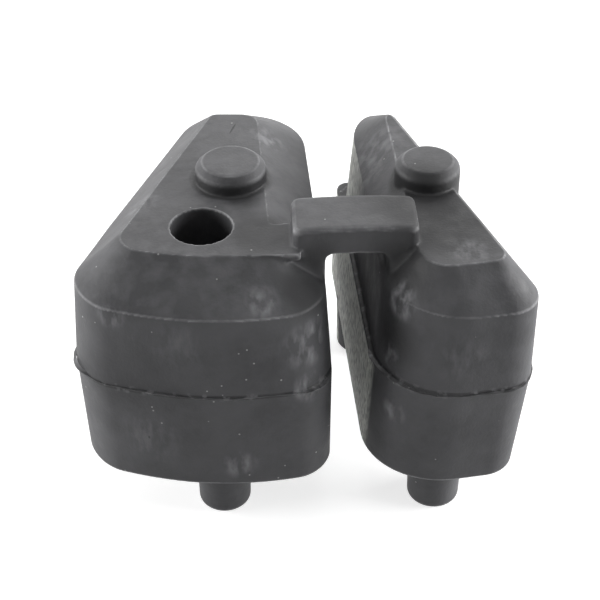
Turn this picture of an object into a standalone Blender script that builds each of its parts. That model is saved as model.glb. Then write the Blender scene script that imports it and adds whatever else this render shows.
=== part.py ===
"""Cush drive damper: two wedge lobes of moulded rubber, joined over their gap by one short bridge.

Metres, +Z up. The rim side of the lobes faces -Y and the hub side +Y, and the gap runs along Y. The four
peg ends stand on Z = 0, and the middle of the footprint is the origin. Everything is one moulding, so it
is one object.
"""
import math

import bmesh
import bpy
from mathutils import Matrix, Vector

# Heights of the moulding, from the peg ends up
PEG_HEIGHT = 0.0073
LOWER_HEIGHT = 0.0157
UPPER_HEIGHT = 0.0121
CHAMFER_HEIGHT = 0.0049

# Plan of the lobes at the parting line
LARGE_RIM_WIDTH = 0.0361
LARGE_HUB_WIDTH = 0.0161
SMALL_RIM_WIDTH = 0.0216
SMALL_HUB_WIDTH = 0.0079
LARGE_OUTER_LENGTH = 0.0450
LARGE_GAP_LENGTH = 0.0478
SMALL_GAP_LENGTH = 0.0515
SMALL_OUTER_LENGTH = 0.0475
LARGE_RIM_BULGE = 0.0036
BULGE_FADE = 0.0160
GAP_RIM_WIDTH = 0.0058
GAP_HUB_WIDTH = 0.0051
GAP_SKEW = 0.0043

# Corner radii of the walls, in the order rim left, rim right, hub right, hub left
LARGE_LOWER_RADII = (0.0054, 0.0037, 0.0025, 0.0050)
LARGE_UPPER_RADII = (0.0054, 0.0045, 0.0091, 0.0077)
SMALL_LOWER_RADII = (0.0104, 0.0044, 0.0034, 0.0018)
SMALL_UPPER_RADII = (0.0104, 0.0044, 0.0009, 0.0036)

# How much longer each corner's round runs along the side that follows the corner
EVEN_CORNERS = (1.0, 1.0, 1.0, 1.0)
SMALL_STRETCHES = (1.0, 1.0, 1.0, 1.95)

# How far the small lobe's gap side is set back above the mould line, at the rim and at the hub
SMALL_RIM_TRIM = 0.0005
SMALL_HUB_TRIM = 0.0007

# Draft and lean of the walls, as sideways travel for each metre of height, upper drafts by side
LARGE_UPPER_DRAFT = (0.049, 0.049, 0.049, 0.049)
SMALL_UPPER_DRAFT = (0.049, 0.049, 0.049, 0.010)
LOWER_DRAFT = 0.018
LARGE_LEAN = 0.014
SMALL_LEAN = -0.064

# Top chamfer of each lobe, sideways, in the order rim, right, hub, left
LARGE_CHAMFER = (0.0046, 0.0067, 0.0078, 0.0053)
SMALL_CHAMFER = (0.0043, 0.0034, 0.0078, 0.0039)
LARGE_TOP_RADII = (0.0028, 0.0008, 0.0026, 0.0010)
SMALL_TOP_RADII = (0.0040, 0.0011, 0.0008, 0.0008)

# Mould line and edges
FLASH_PROUD = 0.00025
FLASH_HEIGHT = 0.0006
EDGE_ROUND = 0.0006
EDGE_STEPS = 3
TOP_BULGE_SHARE = 0.35

# Knobs on top, each placed in plan from the hub end of the gap
LARGE_KNOB_AT = (-0.0123, -0.0248)
LARGE_KNOB_RADIUS = 0.0048
LARGE_KNOB_HEIGHT = 0.0027
SMALL_KNOB_AT = (0.0140, -0.0246)
SMALL_KNOB_RADIUS = 0.0044
SMALL_KNOB_HEIGHT = 0.0028
KNOB_BEVEL_HEIGHT = 0.0009
KNOB_BEVEL_WIDTH = 0.0011
KNOB_EDGE_SOFT = 0.15

# Pegs underneath
PEG_RADIUS = 0.0037
PEG_TIP_TAPER = 0.0003
PEG_EDGE = 0.0005
PEG_ROOT = 0.0018
PEGS_AT = ((-0.01345, -0.0445), (-0.0110, -0.0105), (0.0155, -0.0437), (0.0063, -0.0105))

# Round hole in the large lobe
HOLE_AT = (-0.0157, -0.0361)
HOLE_RADIUS = 0.0040
HOLE_DEPTH = 0.0220
HOLE_LEAD_IN = 0.0003

# Bridge over the gap, and the shelf that its large end stands on
BRIDGE_LENGTH = 0.0160
BRIDGE_WIDTH = 0.0078
BRIDGE_RISE = 0.0031
BRIDGE_THICKNESS = 0.0039
BRIDGE_TURN = math.radians(2.5)
BRIDGE_SIDE_SHIFT = 0.0008
BRIDGE_FROM_HUB = 0.0371
BRIDGE_EDGE = 0.0006
ARCH_WIDTH = 0.0080
ARCH_CORNER = 0.0014
ARCH_STEPS = 4
SHELF_WIDTH = 0.0052
SHELF_BACK = 0.0021
SHELF_DROP = 0.00008
LIP_LENGTH = 0.0010
LIP_THICKNESS = 0.0011

# How finely the outlines are drawn
CORNER_STEPS = 8
SIDE_STEPS = 6
ROUND_SIDES = 40
CORNER_ROOM = 0.62
SOFT_SHARE = 0.3
SHARP_ANGLE = math.radians(32.0)

UNION = "UNION"
DIFFERENCE = "DIFFERENCE"

PARTING_Z = PEG_HEIGHT + LOWER_HEIGHT
EDGE_Z = PARTING_Z + UPPER_HEIGHT
TOP_Z = EDGE_Z + CHAMFER_HEIGHT


def clear_scene():
    """Empty the scene that the script starts in."""
    for old in list(bpy.data.objects):
        bpy.data.objects.remove(old, do_unlink=True)


def rubber_material():
    """Black moulded rubber with a dull skin."""
    material = bpy.data.materials.new("black_rubber")
    material.use_nodes = True
    shader = material.node_tree.nodes["Principled BSDF"]
    shader.inputs["Base Color"].default_value = (0.035, 0.035, 0.037, 1.0)
    shader.inputs["Roughness"].default_value = 0.68
    shader.inputs["Metallic"].default_value = 0.0
    return material


def plan_corners():
    """The corners of both lobes at the parting line, from the hub end of the gap's middle."""
    large_hub = -GAP_HUB_WIDTH / 2
    large_rim = GAP_SKEW - GAP_RIM_WIDTH / 2
    small_hub = GAP_HUB_WIDTH / 2
    small_rim = GAP_SKEW + GAP_RIM_WIDTH / 2
    large = (
        Vector((large_rim - LARGE_RIM_WIDTH, -LARGE_OUTER_LENGTH)),
        Vector((large_rim, -LARGE_GAP_LENGTH)),
        Vector((large_hub, 0.0)),
        Vector((large_hub - LARGE_HUB_WIDTH, 0.0)),
    )
    small = (
        Vector((small_rim, -SMALL_GAP_LENGTH)),
        Vector((small_rim + SMALL_RIM_WIDTH, -SMALL_OUTER_LENGTH)),
        Vector((small_hub + SMALL_HUB_WIDTH, 0.0)),
        Vector((small_hub, 0.0)),
    )
    small_upper = (
        small[0] + Vector((SMALL_RIM_TRIM, 0.0)),
        small[1],
        small[2],
        small[3] + Vector((SMALL_HUB_TRIM, 0.0)),
    )
    return large, small, small_upper


def inset_corners(corners, insets):
    """Move each side of a four-sided plan inwards by its own amount and return the new corners."""
    lines = []
    for index, start in enumerate(corners):
        end = corners[(index + 1) % 4]
        along = (end - start).normalized()
        inward = Vector((-along.y, along.x))
        lines.append((start + inward * insets[index], along))
    moved = []
    for index in range(4):
        point, along = lines[index - 1]
        other, across = lines[index]
        turn = along.x * across.y - along.y * across.x
        reach = ((other.x - point.x) * across.y - (other.y - point.y) * across.x) / turn
        moved.append(point + along * reach)
    return moved


def corner_arc(before, corner, after, radius, stretch):
    """Points of the round that replaces one corner, drawn out along the side that follows it."""
    towards_before = (before - corner).normalized()
    towards_after = (after - corner).normalized()
    half = math.acos(max(-1.0, min(1.0, towards_before.dot(towards_after)))) / 2
    setback = radius / math.tan(half)
    first = corner + towards_before * min(setback, CORNER_ROOM * (before - corner).length)
    last = corner + towards_after * min(setback * stretch, CORNER_ROOM * (after - corner).length)
    weight = math.sin(half)
    points = []
    for step in range(CORNER_STEPS):
        share = step / (CORNER_STEPS - 1)
        pull = (1.0 - share) ** 2, 2.0 * weight * share * (1.0 - share), share ** 2
        points.append((first * pull[0] + corner * pull[1] + last * pull[2]) / sum(pull))
    return points


def rounded_outline(corners, radii, stretches):
    """Closed outline with round corners, always with the same number of points."""
    arcs = []
    for index in range(4):
        after = corners[(index + 1) % 4]
        arcs.append(corner_arc(corners[index - 1], corners[index], after, radii[index], stretches[index]))
    points = []
    for index in range(4):
        points.extend(arcs[index])
        start = arcs[index][-1]
        end = arcs[(index + 1) % 4][0]
        for step in range(1, SIDE_STEPS):
            points.append(start.lerp(end, step / SIDE_STEPS))
    return points


def bow_out(point, corners, bulge):
    """Push a point near the rim side outwards, most at the middle of the lobe, for an arched rim."""
    middle = (corners[0].x + corners[1].x) / 2
    half_width = (corners[1].x - corners[0].x) / 2
    rim = (corners[0].y + corners[1].y) / 2
    across = (point.x - middle) / half_width
    share = max(0.0, 1.0 - across * across)
    fade = max(0.0, min(1.0, 1.0 - (point.y - rim) / BULGE_FADE))
    return Vector((point.x, point.y - bulge * share * fade))


def level(corners, insets, radii, bulge, height, lean, stretches=EVEN_CORNERS):
    """One closed ring of a lobe at a height, shifted sideways by the lobe's lean."""
    outline = rounded_outline(inset_corners(corners, insets), radii, stretches)
    outline = [bow_out(point, corners, bulge) for point in outline]
    shift = lean * (PARTING_Z - height)
    return [Vector((point.x + shift, point.y, height)) for point in outline]


def lobe_rings(corners, lower_radii, bulge, lean, upper):
    """All rings of one lobe, from its underside to its flat top."""
    rings = []
    for step in range(EDGE_STEPS + 1):
        angle = math.radians(90.0) * step / EDGE_STEPS
        height = PEG_HEIGHT + EDGE_ROUND * (1.0 - math.cos(angle))
        side = LOWER_DRAFT * (PARTING_Z - height) + EDGE_ROUND * (1.0 - math.sin(angle))
        rings.append(level(corners, [side] * 4, lower_radii, bulge, height, lean))
    half_flash = FLASH_HEIGHT / 2
    proud = [-FLASH_PROUD] * 4
    rings.append(level(corners, [0.0] * 4, lower_radii, bulge, PARTING_Z - half_flash, lean))
    rings.append(level(corners, proud, lower_radii, bulge, PARTING_Z - half_flash / 3, lean))
    rings.append(level(corners, proud, lower_radii, bulge, PARTING_Z + half_flash / 3, lean))
    for height in (PARTING_Z + half_flash, EDGE_Z - EDGE_ROUND):
        walls = [draft * (height - PARTING_Z) for draft in upper["drafts"]]
        ring = level(upper["corners"], walls, upper["radii"], bulge, height, lean, upper["stretches"])
        rings.append(ring)
    soft = EDGE_ROUND / CHAMFER_HEIGHT
    near_top = 1.0 - soft / 2
    for share, rise in ((soft * SOFT_SHARE, 0.0), (soft, soft), (near_top, near_top), (1.0, 1.0)):
        insets = [wall + extra * share for wall, extra in zip(walls, upper["chamfer"])]
        radii = [start + (end - start) * share for start, end in zip(upper["radii"], upper["top_radii"])]
        height = EDGE_Z + CHAMFER_HEIGHT * rise
        bow = bulge * (1.0 - (1.0 - TOP_BULGE_SHARE) * share)
        rings.append(level(upper["corners"], insets, radii, bow, height, lean, upper["stretches"]))
    return rings


def object_from_bmesh(name, built, material):
    """Turn a bmesh into a named object with its faces pointing out."""
    bmesh.ops.recalc_face_normals(built, faces=built.faces)
    mesh = bpy.data.meshes.new(name)
    built.to_mesh(mesh)
    built.free()
    mesh.materials.append(material)
    made = bpy.data.objects.new(name, mesh)
    bpy.context.scene.collection.objects.link(made)
    return made


def solid_from_rings(name, rings, material):
    """Skin a stack of rings that all have the same number of points, and close both ends."""
    built = bmesh.new()
    stack = [[built.verts.new(point) for point in ring] for ring in rings]
    count = len(rings[0])
    for lower, upper in zip(stack, stack[1:]):
        for index in range(count):
            after = (index + 1) % count
            built.faces.new((lower[index], lower[after], upper[after], upper[index]))
    built.faces.new(list(reversed(stack[0])))
    built.faces.new(stack[-1])
    return object_from_bmesh(name, built, material)


def turned_solid(name, centre, profile, material):
    """Round solid about an upright axis from (radius, height) pairs, bottom to top."""
    rings = []
    for radius, height in profile:
        ring = []
        for side in range(ROUND_SIDES):
            angle = math.tau * side / ROUND_SIDES
            x = centre[0] + radius * math.cos(angle)
            y = centre[1] + radius * math.sin(angle)
            ring.append(Vector((x, y, height)))
        rings.append(ring)
    return solid_from_rings(name, rings, material)


def block(name, low, high, material):
    """Plain box between two opposite corners."""
    rings = []
    for height in (low[2], high[2]):
        rings.append([
            Vector((low[0], low[1], height)),
            Vector((high[0], low[1], height)),
            Vector((high[0], high[1], height)),
            Vector((low[0], high[1], height)),
        ])
    return solid_from_rings(name, rings, material)


def make_knob(name, centre, radius, height, material):
    """Low round knob with a broad bevel, standing on the flat top."""
    crown = TOP_Z + height
    soft_in = KNOB_BEVEL_WIDTH * KNOB_EDGE_SOFT
    soft_down = KNOB_BEVEL_HEIGHT * KNOB_EDGE_SOFT
    profile = (
        (radius, TOP_Z - CHAMFER_HEIGHT / 2),
        (radius, crown - KNOB_BEVEL_HEIGHT),
        (radius - soft_in, crown - KNOB_BEVEL_HEIGHT + 2 * soft_down),
        (radius - KNOB_BEVEL_WIDTH + soft_in, crown - soft_down / 2),
        (radius - KNOB_BEVEL_WIDTH, crown),
    )
    return turned_solid(name, centre, profile, material)


def make_peg(name, centre, material):
    """Round peg under a lobe, a little narrower at its end."""
    tip = PEG_RADIUS - PEG_TIP_TAPER
    profile = (
        (tip - PEG_EDGE, 0.0),
        (tip - PEG_EDGE * SOFT_SHARE, PEG_EDGE * SOFT_SHARE),
        (tip, PEG_EDGE),
        (PEG_RADIUS, PEG_HEIGHT),
        (PEG_RADIUS, PEG_HEIGHT + PEG_ROOT),
    )
    return turned_solid(name, centre, profile, material)


def make_hole_cutter(material):
    """Cutter for the blind round hole, with a small lead-in at the flat top."""
    profile = (
        (HOLE_RADIUS, TOP_Z - HOLE_DEPTH),
        (HOLE_RADIUS, TOP_Z - HOLE_LEAD_IN),
        (HOLE_RADIUS + HOLE_LEAD_IN, TOP_Z),
        (HOLE_RADIUS + HOLE_LEAD_IN, TOP_Z + CHAMFER_HEIGHT),
    )
    cutter = turned_solid("hole_cutter", HOLE_AT, profile, material)
    mark_as_cutter(cutter)
    return cutter


def mark_as_cutter(cutter):
    """Keep a cutter out of the finished model."""
    cutter.hide_render = True
    cutter.display_type = "WIRE"


def gap_angle():
    """Angle in plan between the gap and the line that the lobes' lengths are measured along."""
    return math.atan(GAP_SKEW / SMALL_GAP_LENGTH)


def gap_middle(from_hub):
    """Sideways place of the gap's middle at a distance from the hub side."""
    return GAP_SKEW * from_hub / SMALL_GAP_LENGTH


def turned_about(made, centre, angle):
    """Turn a finished mesh about an upright line through a point in plan."""
    pivot = Matrix.Translation(Vector((centre[0], centre[1], 0.0)))
    made.data.transform(pivot @ Matrix.Rotation(angle, 4, "Z") @ pivot.inverted())


def bridge_ring(centre, height, inset):
    """One level of the bridge: a rectangle whose corners are cut a little."""
    half_long = BRIDGE_LENGTH / 2 - inset
    half_wide = BRIDGE_WIDTH / 2 - inset
    cut = BRIDGE_EDGE
    marks = (
        (-half_long + cut, -half_wide), (half_long - cut, -half_wide),
        (half_long, -half_wide + cut), (half_long, half_wide - cut),
        (half_long - cut, half_wide), (-half_long + cut, half_wide),
        (-half_long, half_wide - cut), (-half_long, -half_wide + cut),
    )
    return [Vector((centre[0] + x, centre[1] + y, height)) for x, y in marks]


def make_bridge(material):
    """Bar over the gap, with a round-cornered arch below it and a foot on each lobe."""
    centre = (gap_middle(BRIDGE_FROM_HUB) + BRIDGE_SIDE_SHIFT, -BRIDGE_FROM_HUB)
    top = TOP_Z + BRIDGE_RISE
    bridge = solid_from_rings("bridge", (
        bridge_ring(centre, EDGE_Z - EDGE_ROUND, 0.0),
        bridge_ring(centre, top - BRIDGE_EDGE, 0.0),
        bridge_ring(centre, top - BRIDGE_EDGE * SOFT_SHARE, BRIDGE_EDGE * SOFT_SHARE),
        bridge_ring(centre, top, BRIDGE_EDGE),
    ), material)
    turned_about(bridge, centre, BRIDGE_TURN)
    arch = make_arch_cutter(centre, top - BRIDGE_THICKNESS, material)
    join(bridge, arch, DIFFERENCE)
    return bridge, centre


def make_arch_cutter(centre, crown, material):
    """Cutter for the space below the bar, which runs on down into the gap."""
    half = ARCH_WIDTH / 2
    section = [Vector((-half, 0.0, PARTING_Z)), Vector((half, 0.0, PARTING_Z))]
    for middle_x, start in ((half - ARCH_CORNER, 0.0), (ARCH_CORNER - half, 90.0)):
        for step in range(ARCH_STEPS + 1):
            angle = math.radians(start + 90.0 * step / ARCH_STEPS)
            rise = crown - ARCH_CORNER + ARCH_CORNER * math.sin(angle)
            section.append(Vector((middle_x + ARCH_CORNER * math.cos(angle), 0.0, rise)))
    front = [Vector((centre[0] + point.x, centre[1] - BRIDGE_WIDTH, point.z)) for point in section]
    back = [Vector((centre[0] + point.x, centre[1] + BRIDGE_WIDTH, point.z)) for point in section]
    cutter = solid_from_rings("arch_cutter", (front, back), material)
    turned_about(cutter, centre, gap_angle())
    mark_as_cutter(cutter)
    return cutter


def make_shelf(centre, material):
    """Flat tongue of the large lobe, with a thin lip in front, that carries the bridge's end."""
    left = centre[0] - BRIDGE_LENGTH / 2 - SHELF_WIDTH
    right = centre[0] - BRIDGE_LENGTH / 2 + BRIDGE_EDGE * 2
    front = centre[1] - BRIDGE_WIDTH / 2
    back = centre[1] + SHELF_BACK
    level_top = TOP_Z - SHELF_DROP
    lip_front = front - LIP_LENGTH
    lip_low = level_top - LIP_THICKNESS
    shelf = block("shelf", (left, front, EDGE_Z), (right, back, level_top), material)
    lip = block("lip", (left, lip_front, lip_low), (right, back, level_top), material)
    join(shelf, lip, UNION)
    turned_about(shelf, centre, BRIDGE_TURN)
    return shelf


def join(body, tool, operation):
    """Apply an exact boolean of the tool to the body and remove the tool."""
    modifier = body.modifiers.new("boolean", "BOOLEAN")
    modifier.operation = operation
    modifier.object = tool
    bpy.context.view_layer.update()
    evaluated = body.evaluated_get(bpy.context.evaluated_depsgraph_get())
    result = bpy.data.meshes.new_from_object(evaluated)
    body.modifiers.clear()
    body.data = result
    bpy.data.objects.remove(tool, do_unlink=True)


def stand_on_origin(body):
    """Run the gap along Y, and put the footprint's middle over the origin with the peg ends on Z = 0."""
    body.data.transform(Matrix.Rotation(-gap_angle(), 4, "Z"))
    corners = [vertex.co for vertex in body.data.vertices]
    middle_x = (min(point.x for point in corners) + max(point.x for point in corners)) / 2
    middle_y = (min(point.y for point in corners) + max(point.y for point in corners)) / 2
    lowest = min(point.z for point in corners)
    body.data.transform(Matrix.Translation(Vector((-middle_x, -middle_y, -lowest))))


def build():
    """Make the whole damper as one moulded body."""
    clear_scene()
    rubber = rubber_material()
    large, small, small_upper = plan_corners()
    large_top = {
        "corners": large,
        "radii": LARGE_UPPER_RADII,
        "stretches": EVEN_CORNERS,
        "drafts": LARGE_UPPER_DRAFT,
        "chamfer": LARGE_CHAMFER,
        "top_radii": LARGE_TOP_RADII,
    }
    small_top = {
        "corners": small_upper,
        "radii": SMALL_UPPER_RADII,
        "stretches": SMALL_STRETCHES,
        "drafts": SMALL_UPPER_DRAFT,
        "chamfer": SMALL_CHAMFER,
        "top_radii": SMALL_TOP_RADII,
    }
    large_rings = lobe_rings(large, LARGE_LOWER_RADII, LARGE_RIM_BULGE, LARGE_LEAN, large_top)
    small_rings = lobe_rings(small, SMALL_LOWER_RADII, 0.0, SMALL_LEAN, small_top)
    body = solid_from_rings("damper_rubber", large_rings, rubber)
    small_lobe = solid_from_rings("small_lobe", small_rings, rubber)
    join(body, small_lobe, UNION)
    bridge, centre = make_bridge(rubber)
    join(body, make_shelf(centre, rubber), UNION)
    join(body, bridge, UNION)
    knobs = (
        ("large_knob", LARGE_KNOB_AT, LARGE_KNOB_RADIUS, LARGE_KNOB_HEIGHT),
        ("small_knob", SMALL_KNOB_AT, SMALL_KNOB_RADIUS, SMALL_KNOB_HEIGHT),
    )
    for name, place, radius, height in knobs:
        join(body, make_knob(name, place, radius, height, rubber), UNION)
    for place in PEGS_AT:
        join(body, make_peg("peg", place, rubber), UNION)
    join(body, make_hole_cutter(rubber), DIFFERENCE)
    stand_on_origin(body)
    body.data.shade_smooth()
    body.data.set_sharp_from_angle(angle=SHARP_ANGLE)
    print("one body of", len(body.data.polygons), "faces, height", round(body.dimensions.z * 1000, 2), "mm")


build()
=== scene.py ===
# %% [markdown]
# # A cush drive rubber
# This lesson builds the looks of a rubber damper from a motorcycle's rear wheel. It is one moulding: a
# large and a small wedge-shaped lobe, joined over the gap between them by a short bridge. A vane of the
# sprocket carrier sits in the gap and pushes on the lobes. We start by loading the finished CAD part, which
# fixes the size and the place of everything, and we note its box, which later holds the fins inside it.

# %% Load the CAD part
import math

import bmesh
import bpy
from mathutils import Matrix, Vector, noise


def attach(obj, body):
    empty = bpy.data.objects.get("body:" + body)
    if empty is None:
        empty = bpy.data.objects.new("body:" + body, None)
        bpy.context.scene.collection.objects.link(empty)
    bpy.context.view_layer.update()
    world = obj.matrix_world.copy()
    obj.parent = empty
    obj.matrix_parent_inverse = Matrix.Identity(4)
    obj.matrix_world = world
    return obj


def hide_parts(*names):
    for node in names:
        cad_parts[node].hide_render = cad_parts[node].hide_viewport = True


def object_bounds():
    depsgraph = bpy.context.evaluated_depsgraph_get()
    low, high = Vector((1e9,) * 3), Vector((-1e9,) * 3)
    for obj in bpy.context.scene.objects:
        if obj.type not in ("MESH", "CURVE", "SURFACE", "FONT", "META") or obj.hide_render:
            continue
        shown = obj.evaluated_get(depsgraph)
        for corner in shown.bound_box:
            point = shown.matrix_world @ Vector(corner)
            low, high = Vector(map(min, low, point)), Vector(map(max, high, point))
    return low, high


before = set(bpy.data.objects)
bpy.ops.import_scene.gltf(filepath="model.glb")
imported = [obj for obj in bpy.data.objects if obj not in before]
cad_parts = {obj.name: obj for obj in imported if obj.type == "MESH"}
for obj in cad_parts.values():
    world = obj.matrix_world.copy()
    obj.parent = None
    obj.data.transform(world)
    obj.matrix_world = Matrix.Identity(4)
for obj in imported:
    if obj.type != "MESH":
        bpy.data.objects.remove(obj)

cad_low, cad_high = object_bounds()
print("CAD box in mm:", [round(1000 * (high - low), 1) for low, high in zip(cad_low, cad_high)])

# %% [markdown]
# ## Small helpers
# Blender's operators act on whatever is selected, so each step first selects one object alone. We model in
# millimetres, because that is how the part would be drawn, and shrink the finished mesh to metres at the
# end. Faces and edges are picked in code, by where they are and which way they point.

# %% Helpers for selecting and shaping
def select_only(*chosen):
    """Select just these objects and make the first one active."""
    bpy.ops.object.select_all(action="DESELECT")
    for item in chosen:
        item.select_set(True)
    bpy.context.view_layer.objects.active = chosen[0]


def name_new(name):
    """Name the primitive that was just added and write its place into its mesh."""
    made = bpy.context.object
    made.name = name
    bpy.ops.object.transform_apply(location=True, rotation=True, scale=True)
    return made


def pick_faces(piece, test):
    """In edit mode, select only the faces whose middle and normal pass the test."""
    bpy.ops.mesh.select_mode(type="FACE")
    bpy.ops.mesh.select_all(action="DESELECT")
    shape = bmesh.from_edit_mesh(piece.data)
    for face in shape.faces:
        face.select_set(test(face.calc_center_median(), face.normal))
    shape.select_flush(True)
    bmesh.update_edit_mesh(piece.data)


def pick_edges(piece, test):
    """In edit mode, select only the edges whose two ends pass the test."""
    bpy.ops.mesh.select_mode(type="EDGE")
    bpy.ops.mesh.select_all(action="DESELECT")
    shape = bmesh.from_edit_mesh(piece.data)
    for edge in shape.edges:
        edge.select_set(test(edge.verts[0].co, edge.verts[1].co))
    bmesh.update_edit_mesh(piece.data)


def apply_modifier(piece, kind, **settings):
    """Add one modifier with its settings and apply it at once."""
    select_only(piece)
    added = piece.modifiers.new(kind.lower(), kind)
    for key, value in settings.items():
        setattr(added, key, value)
    bpy.ops.object.modifier_apply(modifier=added.name)


print("helpers are ready")

# %% [markdown]
# ## The plan of the lobes
# Seen from above, each lobe is a four-sided wedge with round corners. Its walls lean in for mould release,
# its upper half is set back a little along the gap, and the top is chamfered by another amount on each
# side. No single bevel gives that, so we work out the outline at any height: inset each side by its own
# amount, then round each corner by its own radius. The origin is the hub end of the gap's middle line.

# %% Sizes of the moulding, in millimetres
UNDERSIDE_Z = 7.3
PARTING_Z = 23.0
EDGE_Z = 35.1
TOP_Z = 40.0
LOWER_DRAFT = 0.018
SOFT_EDGE = 0.35
CORNER_STEPS = 30
CORNER_ROOM = 0.62
SIDE_STEPS = 31
BULGE_FADE = 16.0
BULGE_LOST_ON_TOP = 0.65

LARGE_LOBE = {
    "corners": ((-34.7, -45.0), (1.5, -47.8), (-2.45, 0.0), (-18.65, 0.0)),
    "lower_radii": (5.4, 3.7, 2.5, 5.0),
    "upper_radii": (5.4, 4.5, 9.1, 7.7),
    "stretches": (1.0, 1.0, 1.0, 1.0),
    "drafts": (0.049, 0.049, 0.049, 0.049),
    "upper_corners": ((-34.7, -45.0), (1.5, -47.8), (-2.3, 0.0), (-18.65, 0.0)),
    "chamfer": (4.6, 6.7, 7.8, 5.3),
    "top_radii": (2.8, 0.8, 2.6, 1.0),
    "bulge": 3.6,
    "lean": 0.014,
}
SMALL_LOBE = {
    "corners": ((7.1, -51.5), (28.8, -47.5), (10.45, 0.0), (2.45, 0.0)),
    "lower_radii": (10.4, 4.4, 3.4, 1.8),
    "upper_radii": (10.4, 4.4, 0.9, 3.6),
    "stretches": (1.0, 1.0, 1.0, 1.95),
    "drafts": (0.049, 0.049, 0.049, 0.010),
    "upper_corners": ((7.65, -51.5), (28.8, -47.5), (10.45, 0.0), (3.2, 0.0)),
    "chamfer": (4.9, 3.9, 7.8, 3.85),
    "top_radii": (4.0, 1.8, 0.8, 0.8),
    "bulge": 0.0,
    "lean": -0.064,
}


def inset_corners(corners, insets):
    """Move each side inwards by its own amount and return the new corners."""
    lines = []
    for index, start in enumerate(corners):
        along = (Vector(corners[(index + 1) % 4]) - Vector(start)).normalized()
        inward = Vector((-along.y, along.x))
        lines.append((Vector(start) + inward * insets[index], along))
    moved = []
    for index in range(4):
        point, along = lines[index - 1]
        other, across = lines[index]
        turn = along.x * across.y - along.y * across.x
        reach = ((other.x - point.x) * across.y - (other.y - point.y) * across.x) / turn
        moved.append(point + along * reach)
    return moved


def corner_round(before, corner, after, radius, stretch):
    """Points of the round that replaces one corner, drawn out along the side that follows it."""
    towards_before = (before - corner).normalized()
    towards_after = (after - corner).normalized()
    half = math.acos(towards_before.dot(towards_after)) / 2
    setback = radius / math.tan(half)
    first = corner + towards_before * min(setback, CORNER_ROOM * (before - corner).length)
    last = corner + towards_after * min(setback * stretch, CORNER_ROOM * (after - corner).length)
    points = []
    for step in range(CORNER_STEPS):
        share = step / (CORNER_STEPS - 1)
        pull = (1.0 - share) ** 2, 2.0 * math.sin(half) * share * (1.0 - share), share ** 2
        points.append((first * pull[0] + corner * pull[1] + last * pull[2]) / sum(pull))
    return points


def outline(lobe, insets, radii, height, bow_share=1.0):
    """The closed outline of a lobe at one height, with the rim side bowed out and the lean added."""
    half = "upper_corners" if height > PARTING_Z else "corners"
    corners = inset_corners(lobe[half], insets)
    stretches = lobe["stretches"] if height > PARTING_Z else (1.0, 1.0, 1.0, 1.0)
    arcs = []
    for k in range(4):
        arcs.append(corner_round(corners[k - 1], corners[k], corners[(k + 1) % 4], radii[k], stretches[k]))
    points = []
    for index in range(4):
        points.extend(arcs[index])
        start, end = arcs[index][-1], arcs[(index + 1) % 4][0]
        points.extend(start.lerp(end, step / SIDE_STEPS) for step in range(1, SIDE_STEPS))
    middle = (corners[0].x + corners[1].x) / 2
    half_width = (corners[1].x - corners[0].x) / 2
    rim = (corners[0].y + corners[1].y) / 2
    shift = lobe["lean"] * (PARTING_Z - height)
    ring = []
    for point in points:
        share = max(0.0, 1.0 - ((point.x - middle) / half_width) ** 2)
        fade = max(0.0, min(1.0, 1.0 - (point.y - rim) / BULGE_FADE))
        ring.append(Vector((point.x + shift, point.y - lobe["bulge"] * bow_share * share * fade, height)))
    return ring


trial = outline(LARGE_LOBE, [0.0] * 4, LARGE_LOBE["lower_radii"], PARTING_Z)
print("one outline has", len(trial), "points")

# %% [markdown]
# ## The two lobes
# By hand, we would draw a cylinder, cut it across at each height where the shape changes, and pull every
# ring onto its outline. We do the same: a cylinder primitive with as many sides as the outline has points,
# the Bisect operator at each height, and then each ring's points moved to their places. All rings have the
# same number of points, so the walls come out as clean quads.

# %% Build the lobes
def lobe_levels(lobe):
    """Heights and outlines of a lobe from its underside to its flat top."""
    levels = []
    for step in range(4):
        turn = math.radians(30.0 * step)
        height = UNDERSIDE_Z + SOFT_EDGE * (1.0 - math.cos(turn))
        side = LOWER_DRAFT * (PARTING_Z - height) + SOFT_EDGE * (1.0 - math.sin(turn))
        levels.append((height, outline(lobe, [side] * 4, lobe["lower_radii"], height)))
    for height in (PARTING_Z - 6.0, PARTING_Z - 0.05):
        side = LOWER_DRAFT * (PARTING_Z - height)
        levels.append((height, outline(lobe, [side] * 4, lobe["lower_radii"], height)))
    for height in (PARTING_Z + 0.05, PARTING_Z + 6.0, EDGE_Z):
        walls = [draft * (height - PARTING_Z) for draft in lobe["drafts"]]
        levels.append((height, outline(lobe, walls, lobe["upper_radii"], height)))
    for share in (0.33, 0.66, 1.0):
        height = EDGE_Z + (TOP_Z - EDGE_Z) * share
        insets = [wall + extra * share for wall, extra in zip(walls, lobe["chamfer"])]
        radii = [low + (high - low) * share for low, high in zip(lobe["upper_radii"], lobe["top_radii"])]
        levels.append((height, outline(lobe, insets, radii, height, 1.0 - BULGE_LOST_ON_TOP * share)))
    return levels


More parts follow.
